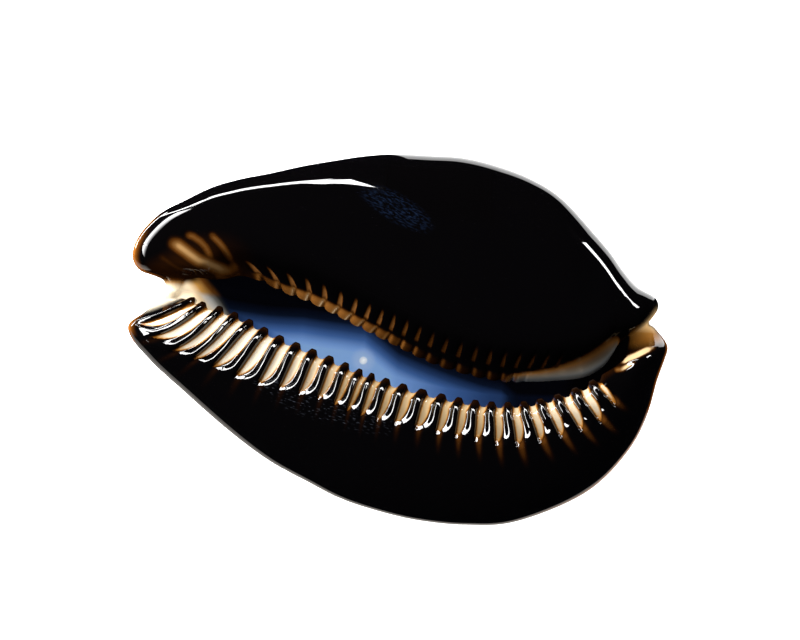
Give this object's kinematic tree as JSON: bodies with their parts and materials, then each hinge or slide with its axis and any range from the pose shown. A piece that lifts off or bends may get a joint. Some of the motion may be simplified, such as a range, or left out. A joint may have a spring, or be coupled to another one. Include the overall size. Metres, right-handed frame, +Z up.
{
  "type": "cowrie shell",
  "caption": "Humped, thick-lipped cowrie shell with a long toothed aperture and a hollow inside, lying on its back.",
  "frame": {"origin": "under the middle of the shell's outline, on the plane it rests on", "axes": "+X runs from the front canal to the rear canal, +Y from the outer lip to the inner lip, +Z up out of the aperture"},
  "size_m": [0.0806, 0.0551, 0.0409],
  "materials": {
    "shell": "glossy enamel, near black, cream grooves between the teeth, blue-grey inside"
  },
  "bodies": {
    "root": {"shell": "shell"}
  },
  "joints": []
}
